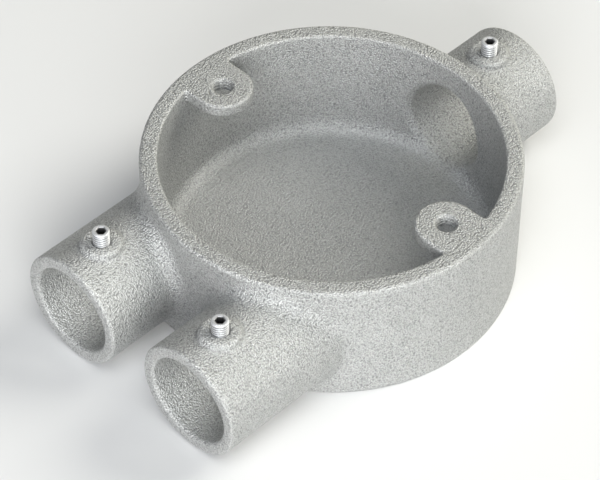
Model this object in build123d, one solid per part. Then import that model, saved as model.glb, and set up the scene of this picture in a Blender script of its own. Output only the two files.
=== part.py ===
from build123d import *
import math
import os

# Y conduit box: a round cast box with two parallel spouts on one side and one spout
# opposite, each spout with a grub screw that grips a plain conduit.
# Millimetres. The origin is the centre of the base, +Z points up to the open rim and
# +Y runs along the spouts towards the single one.

# Spouts, from the low round foot that the box stands on
conduit_dia = 16.0
conduit_clearance = 0.4
spout_wall = 2.4
spout_length = 15.23
twin_pitch = 28.54
spout_above_foot = 0.1
spout_blend = 2.6
mouth_chamfer = 0.3
mouth_lead = 0.4
inlet_chamfer = 0.9

# Box
rim_dia = 66.34
rim_above_spouts = 3.2
rim_wall = 3.2
floor_below_bores = 0.3
cavity_draft = 1.0
floor_chamfer = 1.4
rim_outer_chamfer = 0.35
rim_inner_chamfer = 0.2
foot_height = 0.2
blend_margin = 0.05

# Lid lugs, on the two-inch pitch that lids of such boxes share
lid_hole_pitch = 50.8
lid_hole_offset = 1.46
lid_hole_dia = 3.3
lid_hole_chamfer = 0.35
lug_radius = 5.45
lug_thickness = 2.5
lug_lower_chamfer = 0.3

# Grub screws and the bosses that they stand in
screw_dia = 3.0
screw_length = 5.0
screw_set_back = 7.8
screw_stand = 2.4
thread_clearance = 0.05
screw_top_chamfer = 0.2
screw_tip_chamfer = 0.45
socket_across_flats = 1.5
socket_depth = 1.6
socket_turn = 44.0
cup_dia = 1.4
cup_angle = 120.0
boss_wall = 2.15
boss_rise = 0.85
boss_chamfer = 0.5
boss_hole_chamfer = 0.25

# Worked out from the sizes above
bore_radius = (conduit_dia + conduit_clearance) / 2
spout_radius = bore_radius + spout_wall
spout_axis_height = foot_height + spout_above_foot + spout_radius
spout_crest = spout_axis_height + spout_radius
box_height = spout_crest + rim_above_spouts
floor_thickness = spout_axis_height - bore_radius - floor_below_bores
rim_radius = rim_dia / 2
cavity_rim_radius = rim_radius - rim_wall
spout_reach = rim_radius + spout_length
blend_room = min(rim_above_spouts - rim_outer_chamfer, twin_pitch / 2 - spout_radius)
blend_radius = min(spout_blend, blend_room - blend_margin)
screw_place = spout_reach - screw_set_back
screw_hole_radius = screw_dia / 2 + thread_clearance
boss_top = spout_crest + boss_rise
lug_across = math.sqrt((lid_hole_pitch / 2) ** 2 - lid_hole_offset**2)

# Each spout by name: its axis across the box, and the way it points along Y
spouts = {
    "twin_left": (-twin_pitch / 2, -1),
    "twin_right": (twin_pitch / 2, -1),
    "single": (0, 1),
}

standing = (Align.CENTER, Align.CENTER, Align.MIN)


def on_spout(across, way):
    """The place on a spout's axis at the box's cross line, turned to run out with the spout."""
    return Pos(across, 0, spout_axis_height) * Rot(-90 * way, 0, 0)


def spout(across, way):
    """A plain round spout from the box's cross line to its chamfered mouth."""
    bar = Cylinder(spout_radius, spout_reach, align=standing)
    return on_spout(across, way) * chamfer(bar.edges().group_by(Axis.Z)[-1], mouth_chamfer)


def boss(across, way):
    """The round boss on a spout's crest, chamfered at its top edge."""
    radius = screw_hole_radius + boss_wall
    post = Cylinder(radius, boss_top - spout_axis_height, align=standing)
    post = chamfer(post.edges().group_by(Axis.Z)[-1], boss_chamfer)
    return Pos(across, way * screw_place, spout_axis_height) * post


def outside():
    """The casting before it is hollowed: drum, blended spouts and bosses, on a low round foot."""
    solid = Cylinder(rim_radius, 3 * box_height)
    for across, way in spouts.values():
        solid = solid + spout(across, way)
    seams = solid.edges().filter_by(GeomType.BSPLINE)
    solid = fillet(seams, blend_radius)
    width = 2 * (rim_radius + spout_reach)
    slab = Box(width, width, box_height - foot_height, align=standing)
    solid = solid & Pos(0, 0, foot_height) * slab
    solid = chamfer(solid.edges().group_by(Axis.Z)[-1], rim_outer_chamfer)
    solid = solid + Cone(rim_radius - foot_height, rim_radius, foot_height, align=standing)
    for across, way in spouts.values():
        solid = solid + boss(across, way)
    return solid


def cavity():
    """The drafted round inside of the box, run down past the floor's top."""
    depth = box_height - floor_thickness / 2
    narrowing = depth * math.tan(math.radians(cavity_draft))
    cone = Cone(cavity_rim_radius - narrowing, cavity_rim_radius, depth, align=standing)
    return Pos(0, 0, box_height - depth) * cone


def floor_pan():
    """The floor with its chamfered inside corner, let into the wall all round."""
    narrowing = (box_height - floor_thickness) * math.tan(math.radians(cavity_draft))
    flat_radius = cavity_rim_radius - narrowing - floor_chamfer
    rise = 1.5 * floor_chamfer
    pan = Cylinder(rim_radius - rim_wall / 2, 0.75 * floor_thickness + rise, align=standing)
    dish = Cone(flat_radius, flat_radius + rise, rise, align=standing)
    return Pos(0, 0, floor_thickness / 4) * pan - Pos(0, 0, floor_thickness) * dish


def in_cavity(edge):
    """Whether an edge lies on the inside of the box's wall."""
    at = edge @ 0.5
    return math.hypot(at.X, at.Y) < cavity_rim_radius + rim_wall / 2


def bore(across, way):
    """A conduit bore with the lead at its mouth."""
    drill = Cylinder(bore_radius, 2 * spout_reach, align=standing)
    lead = Cone(bore_radius, bore_radius + 2 * mouth_lead, 2 * mouth_lead)
    return on_spout(across, way) * (drill + Pos(0, 0, spout_reach) * lead)


def at_lug(side):
    """The place of one lid hole at the rim: the lug on that side, seen from above."""
    return Pos(side * lug_across, side * lid_hole_offset, box_height)


def lug(side):
    """One lid lug: a round-nosed ledge flush with the rim and grown from the wall."""
    tongue = Rectangle(rim_radius, 2 * lug_radius, align=(Align.MIN, Align.CENTER))
    outline = Circle(lug_radius) + Rot(0, 0, 0 if side > 0 else 180) * tongue
    ledge = at_lug(side) * extrude(outline, -lug_thickness)
    ledge = chamfer(ledge.edges().group_by(Axis.Z)[0], lug_lower_chamfer)
    return ledge & Cylinder(cavity_rim_radius + rim_wall / 2, 3 * box_height)


def lug_hole(side):
    """The tapping hole through a lug, chamfered at the rim."""
    radius = lid_hole_dia / 2
    drill = Cylinder(radius, 3 * lug_thickness)
    flare = Cone(radius, radius + 2 * lid_hole_chamfer, 2 * lid_hole_chamfer)
    return at_lug(side) * (drill + flare)


def screw_hole(across, way):
    """The tapped hole from a boss down into its bore, chamfered at the boss."""
    depth = boss_top - spout_axis_height
    drill = Cylinder(screw_hole_radius, 2 * depth, align=standing)
    flare_radius = screw_hole_radius + 2 * boss_hole_chamfer
    flare = Cone(screw_hole_radius, flare_radius, 2 * boss_hole_chamfer)
    return Pos(across, way * screw_place, spout_axis_height) * (drill + Pos(0, 0, depth) * flare)


def cast_box():
    """The whole casting, one piece."""
    body = outside() - cavity()
    rim_circles = body.edges().group_by(Axis.Z)[-1].sort_by(SortBy.RADIUS)
    body = chamfer(rim_circles[0], rim_inner_chamfer)
    bores = [bore(across, way) for across, way in spouts.values()]
    body = body - bores
    inlets = body.edges().filter_by(GeomType.BSPLINE).filter_by(in_cavity)
    body = chamfer(inlets, inlet_chamfer)
    body = body + floor_pan() - bores
    for side in (1, -1):
        body = body + lug(side) - lug_hole(side)
    for across, way in spouts.values():
        body = body - screw_hole(across, way)
    return body


def grub_screw(across, way):
    """One grub screw, standing in its boss with its tip just clear of the bore."""
    shank = Cylinder(screw_dia / 2, screw_length, align=standing)
    shank = chamfer(shank.edges().group_by(Axis.Z)[-1], screw_top_chamfer)
    shank = chamfer(shank.edges().group_by(Axis.Z)[0], screw_tip_chamfer)
    hexagon = RegularPolygon(socket_across_flats / 2, 6, major_radius=False, rotation=socket_turn)
    socket = Pos(0, 0, screw_length - socket_depth) * extrude(hexagon, 2 * socket_depth)
    cup_depth = cup_dia / 2 / math.tan(math.radians(cup_angle / 2))
    cup = Cone(cup_dia, 0, 2 * cup_depth)
    tip = boss_top + screw_stand - screw_length
    return Pos(across, way * screw_place, tip) * (shank - socket - cup)


os.makedirs("parts", exist_ok=True)
export_step(cast_box(), "parts/cast_box.step")
for name, (across, way) in spouts.items():
    export_step(grub_screw(across, way), f"parts/grub_screw_{name}.step")
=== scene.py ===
import math

import bmesh
import bpy
import numpy as np
from mathutils import Matrix, Vector


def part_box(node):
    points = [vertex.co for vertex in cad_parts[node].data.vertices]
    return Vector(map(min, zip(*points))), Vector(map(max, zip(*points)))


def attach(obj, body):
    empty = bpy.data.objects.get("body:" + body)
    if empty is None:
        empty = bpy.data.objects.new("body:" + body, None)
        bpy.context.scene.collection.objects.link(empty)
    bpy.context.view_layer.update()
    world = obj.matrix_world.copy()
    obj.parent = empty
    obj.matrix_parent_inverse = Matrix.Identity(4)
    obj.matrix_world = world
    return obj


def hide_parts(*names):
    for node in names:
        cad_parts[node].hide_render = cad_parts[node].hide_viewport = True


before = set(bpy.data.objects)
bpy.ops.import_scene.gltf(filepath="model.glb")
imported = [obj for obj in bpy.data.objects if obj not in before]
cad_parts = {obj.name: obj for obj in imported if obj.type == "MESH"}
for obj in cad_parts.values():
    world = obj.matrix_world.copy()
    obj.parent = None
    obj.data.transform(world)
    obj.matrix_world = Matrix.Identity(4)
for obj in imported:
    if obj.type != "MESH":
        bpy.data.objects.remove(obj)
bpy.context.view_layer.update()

mm = 0.001
scene = bpy.context.scene
print("frame loaded:", sorted(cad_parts))


# Camera, at the photograph's angle

view = {
    "place": (0.23079, -0.24349, 0.35033),
    "azimuth": 44.37913,  # degrees round from the twin spouts' side
    "elevation": 45.98776,
    "roll": 0.43202,
    "lens": 163.25,  # mm
    "sensor": 36,  # mm across
}


def addCamera():
    turns = ("azimuth", "elevation", "roll")
    azimuth, elevation, roll = (math.radians(view[key]) for key in turns)
    back = Vector(
        (
            math.sin(azimuth) * math.cos(elevation),
            -math.cos(azimuth) * math.cos(elevation),
            math.sin(elevation),
        )
    )
    right = Vector((math.cos(azimuth), math.sin(azimuth), 0))
    up = back.cross(right)
    across = right * math.cos(roll) + up * math.sin(roll)
    upright = up * math.cos(roll) - right * math.sin(roll)
    data = bpy.data.cameras.new("camera")
    data.lens = view["lens"]
    data.sensor_width = view["sensor"]
    data.clip_start = 0.01
    data.clip_end = 50
    camera = bpy.data.objects.new("camera", data)
    scene.collection.objects.link(camera)
    turn = Matrix((across, upright, back)).transposed().to_4x4()
    camera.matrix_world = Matrix.Translation(view["place"]) @ turn
    scene.camera = camera


addCamera()
print("camera placed")


# Helpers for node trees and plain meshes

mergeDistance = 0.001 * mm


def addNode(tree, kind, place, inputs=None, **settings):
    node = tree.nodes.new(kind)
    node.location = place
    for key, value in settings.items():
        setattr(node, key, value)
    for key, value in (inputs or {}).items():
        if isinstance(value, bpy.types.NodeSocket):
            tree.links.new(value, node.inputs[key])
        else:
            node.inputs[key].default_value = value
    return node


def addMath(tree, operation, place, *values, clamp=False):
    node = tree.nodes.new("ShaderNodeMath")
    node.location = place
    node.operation = operation
    node.use_clamp = clamp
    for socket, value in zip(node.inputs, values):
        if isinstance(value, bpy.types.NodeSocket):
            tree.links.new(value, socket)
        else:
            socket.default_value = value
    return node.outputs[0]


def spread(tree, place, value, fromLow, fromHigh, toLow, toHigh):
    node = addNode(
        tree,
        "ShaderNodeMapRange",
        place,
        {
            "Value": value,
            "From Min": fromLow,
            "From Max": fromHigh,
            "To Min": toLow,
            "To Max": toHigh,
        },
        interpolation_type="SMOOTHSTEP",
    )
    return node.outputs["Result"]


def newObject(name, mesh):
    thing = bpy.data.objects.new(name, mesh)
    scene.collection.objects.link(thing)
    return thing


def mergedCopy(nodeName, name):
    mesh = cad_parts[nodeName].data.copy()
    work = bmesh.new()
    work.from_mesh(mesh)
    bmesh.ops.remove_doubles(work, verts=work.verts, dist=mergeDistance)
    work.to_mesh(mesh)
    work.free()
    mesh.materials.clear()
    mesh.name = name
    return mesh


def baked(thing):
    # one plain mesh from whatever its modifiers give
    bpy.context.view_layer.update()
    depsgraph = bpy.context.evaluated_depsgraph_get()
    mesh = bpy.data.meshes.new_from_object(
        thing.evaluated_get(depsgraph), preserve_all_data_layers=True, depsgraph=depsgraph
    )
    thing.modifiers.clear()
    old = thing.data
    thing.data = mesh
    mesh.name = old.name
    bpy.data.meshes.remove(old)
    return mesh


def newTree(name, kind, inputs, outputs):
    tree = bpy.data.node_groups.new(name, kind)
    for label, socket, value in inputs:
        socketType = "NodeSocket" + socket
        made = tree.interface.new_socket(label, in_out="INPUT", socket_type=socketType)
        if value is not None:
            made.default_value = value
    for label, socket in outputs:
        tree.interface.new_socket(label, in_out="OUTPUT", socket_type="NodeSocket" + socket)
    return tree


def newGeometryTree(name, inputs):
    inputs = [("Geometry", "Geometry", None)] + inputs
    return newTree(name, "GeometryNodeTree", inputs, [("Geometry", "Geometry")])


def addGeometryModifier(thing, tree, values):
    modifier = thing.modifiers.new(tree.name, "NODES")
    modifier.node_group = tree
    for item in tree.interface.items_tree:
        if item.item_type == "SOCKET" and item.in_out == "INPUT" and item.name in values:
            modifier[item.identifier] = values[item.name]
    return modifier


# Shader groups that both metals use

grainForm = {
    "seedShift": 10 * mm,  # how far each seed moves the pattern
    "speckFrom": 0.55,  # gaps between pebbles, as shares of their spacing
    "speckTo": 0.9,
}


def buildSandGrain():
    tree = newTree(
        "sandGrain",
        "ShaderNodeTree",
        [
            ("Vector", "Vector", None),
            ("Grain Size", "Float", 0.45 * mm),
            ("Pebble Share", "Float", 0.5),
            ("Seed", "Float", 0.0),
        ],
        [("Height", "Float"), ("Speck", "Float")],
    )
    source = addNode(tree, "NodeGroupInput", (-1000, 0))
    scale = addMath(tree, "DIVIDE", (-800, -150), 1.0, source.outputs["Grain Size"])
    seed = source.outputs["Seed"]
    shift = addMath(tree, "MULTIPLY", (-800, 50), seed, grainForm["seedShift"])
    place = addNode(tree, "ShaderNodeVectorMath", (-620, 150), {1: shift}, operation="ADD")
    tree.links.new(source.outputs["Vector"], place.inputs[0])
    fine = addNode(
        tree,
        "ShaderNodeTexNoise",
        (-450, 250),
        {"Vector": place.outputs[0], "Scale": scale, "Detail": 1.0, "Roughness": 0.5},
    )
    pebbles = addNode(
        tree,
        "ShaderNodeTexVoronoi",
        (-450, -50),
        {"Vector": place.outputs[0], "Scale": scale, "Randomness": 1.0},
        feature="F1",
    )
    dome = addMath(tree, "SUBTRACT", (-250, -50), 1.0, pebbles.outputs["Distance"])
    mixed = addNode(
        tree,
        "ShaderNodeMix",
        (-50, 150),
        {"Factor": source.outputs["Pebble Share"], "A": fine.outputs[0], "B": dome},
    )
    gaps = pebbles.outputs["Distance"]
    limits = grainForm["speckFrom"], grainForm["speckTo"]
    speck = spread(tree, (-50, -150), gaps, *limits, 0.0, 1.0)
    addNode(
        tree,
        "NodeGroupOutput",
        (200, 0),
        {"Height": mixed.outputs["Result"], "Speck": speck},
    )
    return tree


def buildMottle():
    tree = newTree(
        "mottle",
        "ShaderNodeTree",
        [
            ("Vector", "Vector", None),
            ("Patch Size", "Float", 6 * mm),
            ("Depth", "Float", 0.05),
            ("Seed", "Float", 0.0),
        ],
        [("Factor", "Float")],
    )
    source = addNode(tree, "NodeGroupInput", (-700, 0))
    scale = addMath(tree, "DIVIDE", (-500, -150), 1.0, source.outputs["Patch Size"])
    cloud = addNode(
        tree,
        "ShaderNodeTexNoise",
        (-300, 100),
        {
            "Vector": source.outputs["Vector"],
            "W": source.outputs["Seed"],
            "Scale": scale,
            "Detail": 4.0,
            "Roughness": 0.6,
        },
        noise_dimensions="4D",
    )
    centred = addMath(tree, "SUBTRACT", (-100, 100), cloud.outputs[0], 0.5)
    scaled = addMath(tree, "MULTIPLY", (50, 100), centred, source.outputs["Depth"])
    doubled = addMath(tree, "MULTIPLY_ADD", (200, 100), scaled, 2.0, 1.0)
    addNode(tree, "NodeGroupOutput", (400, 0), {"Factor": doubled})
    return tree


sandGrain = buildSandGrain()
mottle = buildMottle()


def addGroup(tree, group, place, inputs):
    return addNode(tree, "ShaderNodeGroup", place, inputs, node_tree=group)


print("node groups built")


# Materials

galvanised = {
    "colour": (0.43, 0.435, 0.43, 1),
    "pitAndShadeColour": (0.24, 0.245, 0.25, 1),
    "pitShare": 0.04,
    "creaseShadeShare": 0.35,  # share of the pits' colour painted into inside corners as shade
    "edgeHighlightColour": (0.62, 0.62, 0.61, 1),
    "edgeHighlightShare": 0.15,
    "edgeFrom": 0.03 * mm,  # how far a point stands out where the painted edge highlight starts; negated, the same for the painted crease shade
    "edgeTo": 0.16 * mm,
    "metal": 0.55,
    "roughness": 0.48,
    "dullDip": 0.08,  # rougher in the dips
    "brightTop": 0.06,  # smoother on the tops
    "dipLevel": 0.3,
    "topLevel": 0.8,
    "grainSize": 0.31 * mm,
    "grainDepth": 0.36 * mm,
    "grainStrength": 1.0,
    "grainMiddle": 0.48,
    "grainTone": 1.6,  # how much lighter the tops of the grains are than the dips
    "coarseShare": 0.05,  # of a second grain, this much larger
    "coarseSize": 2.6,
    "pebbles": 0.5,
    "coarsePebbles": 0.3,
    "patchSize": 5 * mm,
    "patchDepth": 0.09,
    "fieldSize": 22 * mm,
    "fieldDepth": 0.06,
    "floorGrain": 0.8,  # share of the grain's depth that the floor keeps
    "floorTone": 0.55,  # share of its tone
    "floorHeights": (2.5 * mm, 4.5 * mm),
    "floorRadii": (28 * mm, 30 * mm),
}


def buildGalvanised():
    m = galvanised
    material = bpy.data.materials.new("galvanisedCasting")
    material.use_nodes = True
    tree = material.node_tree
    tree.nodes.clear()
    place = addNode(tree, "ShaderNodeTexCoord", (-1500, 0)).outputs["Object"]
    parts = addNode(tree, "ShaderNodeSeparateXYZ", (-1300, -500), {0: place})
    # the floor of the box came off a smoother core
    low = spread(tree, (-1100, -450), parts.outputs["Z"], *m["floorHeights"], 1.0, 0.0)
    flat = addNode(
        tree,
        "ShaderNodeCombineXYZ",
        (-1100, -650),
        {"X": parts.outputs["X"], "Y": parts.outputs["Y"], "Z": 0.0},
    )
    reach = addNode(tree, "ShaderNodeVectorMath", (-950, -650), operation="LENGTH")
    tree.links.new(flat.outputs[0], reach.inputs[0])
    inner = spread(tree, (-780, -650), reach.outputs["Value"], *m["floorRadii"], 1.0, 0.0)
    onFloor = addMath(tree, "MULTIPLY", (-600, -550), low, inner)
    grain = addGroup(
        tree,
        sandGrain,
        (-1100, 200),
        {"Vector": place, "Grain Size": m["grainSize"], "Pebble Share": m["pebbles"], "Seed": 1.0},
    )
    coarse = addGroup(
        tree,
        sandGrain,
        (-1100, 0),
        {
            "Vector": place,
            "Grain Size": m["coarseSize"] * m["grainSize"],
            "Pebble Share": m["coarsePebbles"],
            "Seed": 7.0,
        },
    )
    patches, fields = (
        addGroup(
            tree,
            mottle,
            (-1100, height),
            {"Vector": place, "Patch Size": size, "Depth": depth, "Seed": seed},
        )
        for height, size, depth, seed in (
            (400, m["patchSize"], m["patchDepth"], 2.0),
            (600, m["fieldSize"], m["fieldDepth"], 5.0),
        )
    )
    edge = addNode(tree, "ShaderNodeAttribute", (-1100, -200), attribute_name="standsOut")
    out = edge.outputs["Fac"]
    # painted highlight: edges that stand out are lightened toward a pale grey
    edgeHighlight = spread(tree, (-900, -150), out, m["edgeFrom"], m["edgeTo"], 0.0, 1.0)
    # painted shade: inside corners, where a point lies below its neighbours, are darkened toward
    # the pits' colour
    creaseShade = spread(tree, (-900, -320), out, -m["edgeTo"], -m["edgeFrom"], 1.0, 0.0)
    pittedAndShaded = addNode(
        tree,
        "ShaderNodeMix",
        (-600, 400),
        {"A": m["colour"], "B": m["pitAndShadeColour"]},
        data_type="RGBA",
    )
    pits = addMath(tree, "MULTIPLY", (-800, 250), grain.outputs["Speck"], m["pitShare"])
    dark = addMath(tree, "MULTIPLY_ADD", (-700, 150), creaseShade, m["creaseShadeShare"], pits, clamp=True)
    tree.links.new(dark, pittedAndShaded.inputs["Factor"])
    # painted edge highlight mixed into the base colour
    highlighted = addNode(
        tree,
        "ShaderNodeMix",
        (-400, 400),
        {"B": m["edgeHighlightColour"]},
        data_type="RGBA",
    )
    tree.links.new(pittedAndShaded.outputs["Result"], highlighted.inputs["A"])
    edgeHighlightShare = addMath(tree, "MULTIPLY", (-600, 150), edgeHighlight, m["edgeHighlightShare"])
    tree.links.new(edgeHighlightShare, highlighted.inputs["Factor"])
    patchTone, fieldTone = patches.outputs["Factor"], fields.outputs["Factor"]
    tone = addMath(tree, "MULTIPLY", (-700, 600), patchTone, fieldTone)
    fine = grain.outputs["Height"]
    lift = addMath(tree, "SUBTRACT", (-1100, 750), fine, m["grainMiddle"])
    evener = addMath(tree, "MULTIPLY_ADD", (-1100, 900), onFloor, m["floorTone"] - 1.0, 1.0)
    lift = addMath(tree, "MULTIPLY", (-900, 750), lift, evener)
    grainTone = addMath(tree, "MULTIPLY_ADD", (-700, 750), lift, m["grainTone"], 1.0)
    tone = addMath(tree, "MULTIPLY", (-500, 700), tone, grainTone)
    toned = addNode(tree, "ShaderNodeVectorMath", (-200, 450), operation="SCALE")
    tree.links.new(highlighted.outputs["Result"], toned.inputs[0])
    tree.links.new(tone, toned.inputs["Scale"])
    coarseDepth = m["coarseShare"] * m["coarseSize"]
    swell = coarse.outputs["Height"]
    mixedGrain = addMath(tree, "MULTIPLY_ADD", (-700, 0), swell, coarseDepth, fine)
    calmer = addMath(tree, "MULTIPLY_ADD", (-450, -400), onFloor, m["floorGrain"] - 1.0, 1.0)
    height = addMath(tree, "MULTIPLY", (-450, -100), mixedGrain, calmer)
    bump = addNode(
        tree,
        "ShaderNodeBump",
        (-200, -100),
        {"Strength": m["grainStrength"], "Distance": m["grainDepth"], "Height": height},
    )
    dull, bright = m["roughness"] + m["dullDip"], m["roughness"] - m["brightTop"]
    rough = spread(tree, (-450, 100), fine, m["dipLevel"], m["topLevel"], dull, bright)
    shader = addNode(
        tree,
        "ShaderNodeBsdfPrincipled",
        (50, 200),
        {
            "Base Color": toned.outputs[0],
            "Metallic": m["metal"],
            "Roughness": rough,
            "Normal": bump.outputs[0],
        },
    )
    addNode(tree, "ShaderNodeOutputMaterial", (350, 200), {"Surface": shader.outputs[0]})
    return material


screwZinc = {
    "colour": (0.8, 0.81, 0.82, 1),
    "darkColour": (0.5, 0.5, 0.51, 1),
    "shadeColour": (0.02, 0.02, 0.02, 1),  # painted shade, down the socket and at the roots of the thread
    "grooveShade": 0.75,
    "metal": 0.55,
    "roughness": 0.4,
    "roughSpread": 0.08,
    "dipLevel": 0.2,
    "topLevel": 0.8,
    "grainSize": 0.12 * mm,
    "grainDepth": 0.01 * mm,
    "grainStrength": 0.25,
    "pebbles": 0.2,
    "patchSize": 0.8 * mm,
    "patchDepth": 0.1,
}


def buildScrewZinc():
    m = screwZinc
    material = bpy.data.materials.new("screwZinc")
    material.use_nodes = True
    tree = material.node_tree
    tree.nodes.clear()
    place = addNode(tree, "ShaderNodeTexCoord", (-900, 0)).outputs["Object"]
    grain = addGroup(
        tree,
        sandGrain,
        (-700, 0),
        {"Vector": place, "Grain Size": m["grainSize"], "Pebble Share": m["pebbles"], "Seed": 4.0},
    )
    patches = addGroup(
        tree,
        mottle,
        (-700, 250),
        {"Vector": place, "Patch Size": m["patchSize"], "Depth": m["patchDepth"], "Seed": 9.0},
    )
    worn = addNode(
        tree,
        "ShaderNodeMix",
        (-450, 300),
        {"Factor": grain.outputs["Speck"], "A": m["colour"], "B": m["darkColour"]},
        data_type="RGBA",
    )
    # painted shade: the thread's roots and the socket are darkened toward near black
    groove = addNode(tree, "ShaderNodeAttribute", (-900, 500), attribute_name="thread")
    socketShade = addNode(tree, "ShaderNodeAttribute", (-900, 700), attribute_name="socketShade")
    inGroove = addMath(tree, "MULTIPLY", (-700, 500), groove.outputs["Fac"], m["grooveShade"])
    paintedShade = addMath(tree, "MAXIMUM", (-550, 600), inGroove, socketShade.outputs["Fac"])
    shaded = addNode(
        tree,
        "ShaderNodeMix",
        (-350, 450),
        {"Factor": paintedShade, "A": worn.outputs["Result"], "B": m["shadeColour"]},
        data_type="RGBA",
    )
    toned = addNode(
        tree,
        "ShaderNodeVectorMath",
        (-150, 300),
        {0: shaded.outputs["Result"], "Scale": patches.outputs["Factor"]},
        operation="SCALE",
    )
    fine = grain.outputs["Height"]
    dull, bright = m["roughness"] + m["roughSpread"], m["roughness"] - m["roughSpread"]
    rough = spread(tree, (-450, 50), fine, m["dipLevel"], m["topLevel"], dull, bright)
    bump = addNode(
        tree,
        "ShaderNodeBump",
        (-250, -150),
        {"Strength": m["grainStrength"], "Distance": m["grainDepth"], "Height": fine},
    )
    shader = addNode(
        tree,
        "ShaderNodeBsdfPrincipled",
        (0, 200),
        {
            "Base Color": toned.outputs[0],
            "Metallic": m["metal"],
            "Roughness": rough,
            "Normal": bump.outputs[0],
        },
    )
    addNode(tree, "ShaderNodeOutputMaterial", (300, 200), {"Surface": shader.outputs[0]})
    return material


galvanisedCasting = buildGalvanised()
zincPlate = buildScrewZinc()


# The casting: galvanised, out of a sand mould, its edges soft and its skin uneven

casting = {
    "voxel": 0.25 * mm,  # grid of the remesh that rounds the knife edges
    "softening": 1,  # smoothing passes over the whole skin
    "cornerSoftening": 34,  # more of them where the mould had fillets
    "cornerRadius": 28.9,  # mm, the middle of the floor's inside corner
    "cornerReach": 1.9,  # mm to either side of it
    "cornerHeights": (1.4, 5.2),  # mm
    "toeShare": 0.002,  # how much of that the foot of each boss gets
    "toeRing": (2.9, 5.4),  # mm from the screw's axis
    "toeHeight": 19,  # mm, above which a boss is
    "edgeReach": 14,  # smoothing passes that tell an edge from a face
    "waviness": 0.05 * mm,  # slow unevenness of a cast face
    "waveSize": 7 * mm,
    "waveTop": 0.8,  # level of the noise that stays in place, so that the skin only sinks
    "faces": 180000,
    "seed": 3,
    "sharp": 55,  # degrees
}


def liveValue(sockets):
    # a blur has one Value socket for each kind of data, and only one of them is in use
    return next(socket for socket in sockets if socket.enabled and socket.name == "Value")


def buildCastSkin():
    # smooths a remeshed casting, unevens it and keeps how far each point stood out
    tree = newGeometryTree(
        "castSkin",
        [
            ("Softening", "Int", 4),
            ("Corner Softening", "Int", 20),
            ("Waviness", "Float", 0.05 * mm),
            ("Wave Size", "Float", 7 * mm),
            ("Wave Top", "Float", 0.8),
            ("Edge Reach", "Int", 14),
            ("Seed", "Int", 0),
            ("Material", "Material", None),
        ],
    )
    source = addNode(tree, "NodeGroupInput", (-1400, 0))
    place = addNode(tree, "GeometryNodeInputPosition", (-1400, -350))
    soft = addNode(
        tree,
        "GeometryNodeBlurAttribute",
        (-1150, -200),
        {"Iterations": source.outputs["Softening"]},
        data_type="FLOAT_VECTOR",
    )
    link = tree.links.new
    link(place.outputs[0], liveValue(soft.inputs))
    first = addNode(
        tree,
        "GeometryNodeSetPosition",
        (-900, 0),
        {"Geometry": source.outputs["Geometry"]},
    )
    link(liveValue(soft.outputs), first.inputs["Position"])
    mask = addNode(
        tree,
        "GeometryNodeInputNamedAttribute",
        (-1150, -450),
        {"Name": "corner"},
        data_type="FLOAT",
    )
    corner = addNode(
        tree,
        "GeometryNodeBlurAttribute",
        (-900, -300),
        {"Iterations": source.outputs["Corner Softening"], "Weight": mask.outputs["Attribute"]},
        data_type="FLOAT_VECTOR",
    )
    link(place.outputs[0], liveValue(corner.inputs))
    second = addNode(tree, "GeometryNodeSetPosition", (-650, 0), {"Geometry": first.outputs[0]})
    link(liveValue(corner.outputs), second.inputs["Position"])
    reach = addNode(
        tree,
        "GeometryNodeBlurAttribute",
        (-650, -400),
        {"Iterations": source.outputs["Edge Reach"]},
        data_type="FLOAT_VECTOR",
    )
    link(place.outputs[0], liveValue(reach.inputs))
    normal = addNode(tree, "GeometryNodeInputNormal", (-650, -600))
    away = addNode(tree, "ShaderNodeVectorMath", (-450, -400), operation="SUBTRACT")
    link(place.outputs[0], away.inputs[0])
    link(liveValue(reach.outputs), away.inputs[1])
    standing = addNode(tree, "ShaderNodeVectorMath", (-270, -400), operation="DOT_PRODUCT")
    link(away.outputs[0], standing.inputs[0])
    link(normal.outputs[0], standing.inputs[1])
    keep = addNode(
        tree,
        "GeometryNodeStoreNamedAttribute",
        (-100, 0),
        {"Geometry": second.outputs[0], "Name": "standsOut", "Value": standing.outputs["Value"]},
        data_type="FLOAT",
        domain="POINT",
    )
    waveScale = addMath(tree, "DIVIDE", (-450, -750), 1.0, source.outputs["Wave Size"])
    wave = addNode(
        tree,
        "ShaderNodeTexNoise",
        (-270, -700),
        {"Scale": waveScale, "Detail": 2.0, "W": source.outputs["Seed"]},
        noise_dimensions="4D",
    )
    link(place.outputs[0], wave.inputs["Vector"])
    centred = addMath(tree, "SUBTRACT", (-80, -700), wave.outputs[0], source.outputs["Wave Top"])
    height = addMath(tree, "MULTIPLY", (80, -700), centred, source.outputs["Waviness"])
    push = addNode(tree, "ShaderNodeVectorMath", (240, -600), operation="SCALE")
    link(normal.outputs[0], push.inputs[0])
    link(height, push.inputs["Scale"])
    last = addNode(tree, "GeometryNodeSetPosition", (400, 0), {"Geometry": keep.outputs[0]})
    link(push.outputs[0], last.inputs["Offset"])
    real = addNode(tree, "GeometryNodeRealizeInstances", (560, 0), {"Geometry": last.outputs[0]})
    finished = addNode(
        tree,
        "GeometryNodeSetMaterial",
        (720, 0),
        {"Geometry": real.outputs[0], "Material": source.outputs["Material"]},
    )
    addNode(tree, "NodeGroupOutput", (880, 0), {"Geometry": finished.outputs[0]})
    return tree


# across and along, in mm
screwPlaces = {
    name: tuple((a + b) / 2 / mm for a, b in list(zip(*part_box("grub_screw_" + name)))[:2])
    for name in ("twin_left", "twin_right", "single")
}


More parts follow.
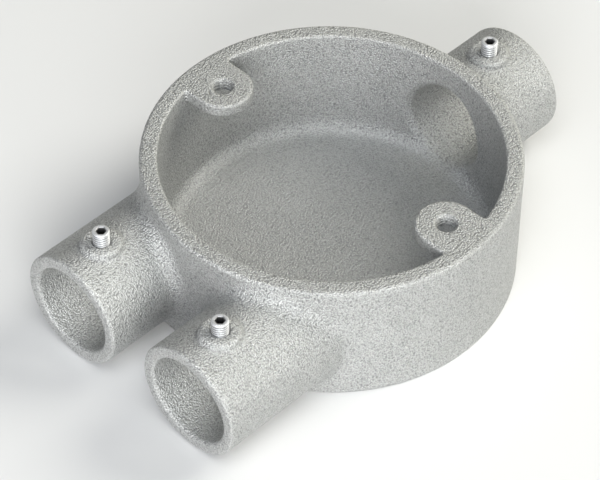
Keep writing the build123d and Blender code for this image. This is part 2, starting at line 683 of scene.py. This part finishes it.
def markCorners(mesh):
    # how much each point of the remeshed casting is smoothed again
    count = len(mesh.vertices)
    at = np.empty(count * 3)
    mesh.vertices.foreach_get("co", at)
    x, y, z = at.reshape(-1, 3).T / mm
    radius = np.hypot(x, y)
    low, high = casting["cornerHeights"]
    near = np.abs(radius - casting["cornerRadius"]) < casting["cornerReach"]
    weight = np.where(near & (z > low) & (z < high), 1.0, 0.0)
    low, high = casting["toeRing"]
    for across, along in screwPlaces.values():
        away = np.hypot(x - across, y - along)
        toe = (away > low) & (away < high) & (z > casting["toeHeight"])
        weight = np.where(toe, casting["toeShare"], weight)
    layer = mesh.attributes.new("corner", "FLOAT", "POINT")
    layer.data.foreach_set("value", weight.astype(np.float32))


def buildCasting():
    mesh = mergedCopy("cast_box", "castBox")
    thing = newObject("castBox", mesh)
    remesh = thing.modifiers.new("remesh", "REMESH")
    remesh.mode = "VOXEL"
    remesh.voxel_size = casting["voxel"]
    remesh.use_smooth_shade = True
    baked(thing)
    print("casting remeshed:", len(thing.data.polygons))
    markCorners(thing.data)
    addGeometryModifier(
        thing,
        buildCastSkin(),
        {
            "Softening": casting["softening"],
            "Corner Softening": casting["cornerSoftening"],
            "Waviness": casting["waviness"],
            "Wave Size": casting["waveSize"],
            "Wave Top": casting["waveTop"],
            "Edge Reach": casting["edgeReach"],
            "Seed": casting["seed"],
            "Material": galvanisedCasting,
        },
    )
    baked(thing)
    triangles = 2 * len(thing.data.polygons)
    thin = thing.modifiers.new("thin", "DECIMATE")
    thin.ratio = min(1.0, casting["faces"] / triangles)
    baked(thing)
    print("casting smoothed:", len(thing.data.polygons))
    return thing


castBox = buildCasting()


# Threads: a plain lathe of fine rings, and the helix laid on it by Geometry Nodes

threadForm = {
    # half of the root's and of the groove's width, as shares of the pitch
    "root": 0.06,
    "groove": 0.42,
}

lugThread = {
    "reach": 25.4 * mm,  # of each hole from the box's centre
    "offset": 1.46 * mm,
    "coreRadius": 1.65 * mm,
    "pitch": 0.7 * mm,
    "depth": 0.3 * mm,
    "flareRadius": 2.1 * mm,
    "length": 4.5 * mm,
    "clear": 0.5 * mm,  # how far the cutter stands out of the lug
    "fade": 0.25,  # of the pitch
    "columns": 64,
    "rowsPerTurn": 9,
    "weld": 0.0002 * mm,  # closer than this, the points that a cut leaves are one
}

grubScrew = {
    "radius": 1.5 * mm,
    "pitch": 0.5 * mm,
    "depth": 0.26 * mm,
    "topChamfer": 0.22 * mm,
    "tipChamfer": 0.45 * mm,
    "socketFlats": 1.5 * mm,
    "socketDepth": 1.6 * mm,
    "socketTurn": 44.0,  # degrees
    "socketLead": 0.14 * mm,
    "cornerEase": 0.03 * mm,  # off the corners of the hexagon
    "socketShadeLevels": (0.3, 0.75, 0.9, 1),  # share of painted shade at the mouth, the lead, partway down and the end
    "socketShadeDepth": 0.3,  # of the socket, where the third of them is
    "mouthDrop": 0.01 * mm,
    "drillTip": 0.25 * mm,
    "drillEnd": 0.2 * mm,
    "faceRadius": 1.08 * mm,
    "cupRadius": 0.7 * mm,
    "cupDepth": 0.4 * mm,
    "cupEnd": 0.05 * mm,
    "fade": 0.5,  # of the pitch, at each end of the thread
    "columns": 72,
    "rowsPerTurn": 9,
    "startAngle": 1.0,
    "sharp": 32,  # degrees
}


def buildThreadCutter():
    # sinks a helical groove into the points marked as thread, by their angle and height
    tree = newGeometryTree(
        "threadCutter",
        [
            ("Pitch", "Float", 0.5 * mm),
            ("Depth", "Float", 0.25 * mm),
            ("Centre", "Vector", (0, 0, 0)),
            ("Start Angle", "Float", 0.0),
            ("Material", "Material", None),
        ],
    )
    link = tree.links.new
    source = addNode(tree, "NodeGroupInput", (-1300, 0))
    place = addNode(tree, "GeometryNodeInputPosition", (-1300, -350))
    local = addNode(tree, "ShaderNodeVectorMath", (-1100, -300), operation="SUBTRACT")
    link(place.outputs[0], local.inputs[0])
    link(source.outputs["Centre"], local.inputs[1])
    parts = addNode(tree, "ShaderNodeSeparateXYZ", (-930, -300), {0: local.outputs[0]})
    angle = addMath(tree, "ARCTAN2", (-750, -400), parts.outputs["Y"], parts.outputs["X"])
    started = addMath(tree, "ADD", (-600, -400), angle, source.outputs["Start Angle"])
    turns = addMath(tree, "DIVIDE", (-450, -400), started, 2 * math.pi)
    climb = addMath(tree, "DIVIDE", (-600, -250), parts.outputs["Z"], source.outputs["Pitch"])
    phase = addMath(tree, "SUBTRACT", (-300, -300), climb, turns)
    part = addMath(tree, "FRACT", (-150, -300), phase)
    centred = addMath(tree, "SUBTRACT", (0, -300), part, 0.5)
    slope = addMath(tree, "ABSOLUTE", (150, -300), centred)
    # flat crest, sloping flanks and a narrow root
    groove = addNode(
        tree,
        "ShaderNodeMapRange",
        (300, -300),
        {
            "Value": slope,
            "From Min": threadForm["root"],
            "From Max": threadForm["groove"],
            "To Min": 1.0,
            "To Max": 0.0,
        },
    )
    mask = addNode(
        tree,
        "GeometryNodeInputNamedAttribute",
        (150, -550),
        {"Name": "thread"},
        data_type="FLOAT",
    )
    sunk = addMath(tree, "MULTIPLY", (480, -300), groove.outputs[0], mask.outputs["Attribute"])
    amount = addMath(tree, "MULTIPLY", (640, -300), sunk, source.outputs["Depth"])
    flat = addNode(
        tree,
        "ShaderNodeCombineXYZ",
        (-750, -150),
        {"X": parts.outputs["X"], "Y": parts.outputs["Y"], "Z": 0.0},
    )
    outward = addNode(tree, "ShaderNodeVectorMath", (-550, -100), operation="NORMALIZE")
    link(flat.outputs[0], outward.inputs[0])
    push = addNode(tree, "ShaderNodeVectorMath", (800, -200), operation="SCALE")
    link(outward.outputs[0], push.inputs[0])
    link(amount, push.inputs["Scale"])
    kept = addNode(
        tree,
        "GeometryNodeStoreNamedAttribute",
        (780, 0),
        {"Geometry": source.outputs["Geometry"], "Name": "thread", "Value": sunk},
        data_type="FLOAT",
        domain="POINT",
    )
    moved = addNode(tree, "GeometryNodeSetPosition", (950, 0), {"Geometry": kept.outputs[0]})
    link(push.outputs[0], moved.inputs["Offset"])
    real = addNode(tree, "GeometryNodeRealizeInstances", (1120, 0), {"Geometry": moved.outputs[0]})
    finished = addNode(
        tree,
        "GeometryNodeSetMaterial",
        (1290, 0),
        {"Geometry": real.outputs[0], "Material": source.outputs["Material"]},
    )
    addNode(tree, "NodeGroupOutput", (1460, 0), {"Geometry": finished.outputs[0]})
    return tree


threadCutter = buildThreadCutter()


def latheMesh(name, centre, rings, columns):
    # a ring is a radius or a function of angle, a height, a thread share and a share of painted
    # shade
    work = bmesh.new()
    thread = work.verts.layers.float.new("thread")
    socketShade = work.verts.layers.float.new("socketShade")
    rows = []
    for radius, height, share, shadeLevel in rings:
        row = []
        for column in range(columns):
            angle = 2 * math.pi * column / columns
            reach = radius(angle) if callable(radius) else radius
            vert = work.verts.new(
                (
                    centre[0] + reach * math.cos(angle),
                    centre[1] + reach * math.sin(angle),
                    centre[2] + height,
                )
            )
            vert[thread] = share
            vert[socketShade] = shadeLevel
            row.append(vert)
        rows.append(row)
    for lower, upper in zip(rows, rows[1:]):
        for column in range(columns):
            following = (column + 1) % columns
            work.faces.new((lower[column], lower[following], upper[following], upper[column]))
    for row, height, turned in ((rows[0], rings[0][1], True), (rows[-1], rings[-1][1], False)):
        hub = work.verts.new((centre[0], centre[1], centre[2] + height))
        hub[socketShade] = row[0][socketShade]
        for column in range(columns):
            following = (column + 1) % columns
            pair = (row[following], row[column]) if turned else (row[column], row[following])
            work.faces.new(pair + (hub,))
    mesh = bpy.data.meshes.new(name)
    work.to_mesh(mesh)
    work.free()
    return mesh


def hexReach(flats, turn, corner):
    # reach of a hexagon at an angle, its corners eased by a little
    inner = flats / 2

    def reach(angle):
        step = math.pi / 3
        offset = (angle - math.radians(turn) + step / 2) % step - step / 2
        flat = inner / math.cos(step / 2 - abs(offset))
        return min(flat, inner / math.cos(step / 2) - corner)

    return reach


def threadRows(low, high, pitch, rowsPerTurn, radius, fade):
    # rings from low to high with the thread fading in at each end
    count = max(2, round((high - low) / pitch * rowsPerTurn))
    rings = []
    for row in range(count + 1):
        height = low + (high - low) * row / count
        share = min(1, (height - low) / fade, (high - height) / fade)
        rings.append((radius, height, max(0.0, share), 0.0))
    return rings


def buildLugCutter(name, centre):
    # what a drill, a countersink and a tap take out of one lug
    core = lugThread["coreRadius"]
    flare = lugThread["flareRadius"]
    low = -lugThread["length"]
    pitch = lugThread["pitch"]
    clear = lugThread["clear"]
    fade = lugThread["fade"] * pitch
    rings = threadRows(low, -(flare - core), pitch, lugThread["rowsPerTurn"], core, fade)
    rings += [(flare, 0.0, 0.0, 0.0), (flare + clear, clear, 0.0, 0.0)]
    thing = newObject(name, latheMesh(name, centre, rings, lugThread["columns"]))
    addGeometryModifier(
        thing,
        threadCutter,
        {
            "Pitch": pitch,
            "Depth": lugThread["depth"],
            "Centre": centre,
            "Material": galvanisedCasting,
        },
    )
    baked(thing)
    return thing


def buildScrewMesh(name, centre, height, length):
    # one hex socket set screw, top at height, with its cup point below
    s = grubScrew
    radius = s["radius"]
    low = -length
    deep = -s["socketDepth"]
    flats = s["socketFlats"]
    hexagon = hexReach(flats, s["socketTurn"], s["cornerEase"])
    widened = hexReach(flats + 2 * s["socketLead"], s["socketTurn"], 2 * s["cornerEase"])
    # shares of painted shade down the socket
    mouthShade, leadShade, wallShade, endShade = s["socketShadeLevels"]
    rings = [
        (s["cupEnd"], low + s["cupDepth"], 0, 0),
        (s["cupRadius"], low, 0, 0),
        (radius - s["tipChamfer"], low, 0, 0),
    ]
    rings += threadRows(
        low + s["tipChamfer"],
        -s["topChamfer"],
        s["pitch"],
        s["rowsPerTurn"],
        radius,
        s["fade"] * s["pitch"],
    )
    rings += [
        (radius - s["topChamfer"], 0.0, 0, 0),
        (s["faceRadius"], 0.0, 0, 0),
        (widened, -s["mouthDrop"], 0, mouthShade),
        (hexagon, -s["socketLead"], 0, leadShade),
        (hexagon, s["socketShadeDepth"] * deep, 0, wallShade),
        (hexagon, deep, 0, endShade),
        (s["drillEnd"], deep - s["drillTip"], 0, endShade),
    ]
    return latheMesh(name, (centre[0], centre[1], height), rings, s["columns"])


def lugPlaces():
    turn = math.asin(lugThread["offset"] / lugThread["reach"])
    for side in (0, math.pi):
        across = lugThread["reach"] * math.cos(turn + side)
        along = lugThread["reach"] * math.sin(turn + side)
        yield across, along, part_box("cast_box")[1][2]


def closeCut(mesh):
    # the cut leaves a few hair-thin faces and doubled points
    work = bmesh.new()
    work.from_mesh(mesh)
    bmesh.ops.remove_doubles(work, verts=work.verts, dist=lugThread["weld"])
    bmesh.ops.triangulate(work, faces=[face for face in work.faces if len(face.verts) > 3])
    bmesh.ops.dissolve_degenerate(work, edges=work.edges, dist=lugThread["weld"])
    work.to_mesh(mesh)
    work.free()


def tapLugs():
    cutters = [buildLugCutter(f"lugCutter{i}", place) for i, place in enumerate(lugPlaces())]
    for cutter in cutters:
        cut = castBox.modifiers.new("tap", "BOOLEAN")
        cut.operation = "DIFFERENCE"
        cut.solver = "EXACT"
        cut.object = cutter
    baked(castBox)
    for cutter in cutters:
        bpy.data.objects.remove(cutter)
    closeCut(castBox.data)
    print("lug holes tapped:", len(castBox.data.polygons))


tapLugs()


# The casting's shading and place, then the three screws

castBox.data.materials.clear()
castBox.data.materials.append(galvanisedCasting)
castBox.data.polygons.foreach_set("material_index", [0] * len(castBox.data.polygons))
castBox.data.shade_smooth()
castBox.data.set_sharp_from_angle(angle=math.radians(casting["sharp"]))
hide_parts("cast_box")
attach(castBox, "box")


def buildScrews():
    for name, (across, along) in screwPlaces.items():
        low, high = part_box("grub_screw_" + name)
        centre = (across * mm, along * mm, high[2])
        label = "grubScrew_" + name
        screw = newObject(label, buildScrewMesh(label, centre, high[2], high[2] - low[2]))
        addGeometryModifier(
            screw,
            threadCutter,
            {
                "Pitch": grubScrew["pitch"],
                "Depth": -grubScrew["depth"],
                "Centre": centre,
                "Start Angle": grubScrew["startAngle"] + across,  # no two start alike
                "Material": zincPlate,
            },
        )
        mesh = baked(screw)
        mesh.shade_smooth()
        mesh.set_sharp_from_angle(angle=math.radians(grubScrew["sharp"]))
        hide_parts("grub_screw_" + name)
        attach(screw, "screw_" + name)
        print("screw made:", label, len(mesh.polygons))


buildScrews()


# Floor and light

studio = {
    "floorColour": (0.7, 0.7, 0.7, 1),
    "floorReach": 4.0,  # metres
    "floorRoughness": 0.9,
    "floorSpecular": 0.1,
    "world": 0.02,
    "aim": 0.012,  # metres up, where the lamps point
    "distance": 1.0,  # metres from the box to every lamp
    "size": 0.7,  # metres across each lamp
    "lamps": {
        # name: azimuth and elevation in degrees, strength in watts, colour
        "key": (45, 18, 11.0, (0.99, 1.0, 0.98)),
        "back": (155, 42, 8.0, (1.0, 0.98, 0.9)),
        "high": (45, 65, 4.8, (0.98, 1.0, 1.0)),
        "left": (10, 40, 1.2, (0.8, 0.95, 1.2)),
        "front": (15, 18, 1.0, (1.1, 0.95, 0.95)),
        "low": (190, 18, 1.0, (1.03, 1.02, 0.75)),
    },
}


def addFloor():
    mesh = bpy.data.meshes.new("floor")
    reach = studio["floorReach"]
    corners = [(-reach, -reach, 0), (reach, -reach, 0), (reach, reach, 0), (-reach, reach, 0)]
    mesh.from_pydata(corners, [], [(0, 1, 2, 3)])
    floor = newObject("floor", mesh)
    material = bpy.data.materials.new("paleFloor")
    material.use_nodes = True
    shader = material.node_tree.nodes["Principled BSDF"]
    shader.inputs["Base Color"].default_value = studio["floorColour"]
    shader.inputs["Roughness"].default_value = studio["floorRoughness"]
    shader.inputs["Specular IOR Level"].default_value = studio["floorSpecular"]
    mesh.materials.append(material)


def addLamps():
    middle = Vector((0, 0, studio["aim"]))
    for name, (azimuth, elevation, power, colour) in studio["lamps"].items():
        turn = math.radians(azimuth)
        rise = math.radians(elevation)
        way = Vector(
            (math.sin(turn) * math.cos(rise), -math.cos(turn) * math.cos(rise), math.sin(rise))
        )
        data = bpy.data.lights.new(name, "AREA")
        data.shape = "DISK"
        data.size = studio["size"]
        data.energy = power
        data.color = colour
        lamp = newObject(name, data)
        lamp.location = middle + way * studio["distance"]
        lamp.rotation_euler = way.to_track_quat("Z", "Y").to_euler()


def setWorld():
    world = bpy.data.worlds.new("studio")
    scene.world = world
    world.use_nodes = True
    back = world.node_tree.nodes["Background"]
    back.inputs["Color"].default_value = (1, 1, 1, 1)
    back.inputs["Strength"].default_value = studio["world"]


addFloor()
addLamps()
setWorld()
scene.view_settings.view_transform = "Standard"
print("studio lit")
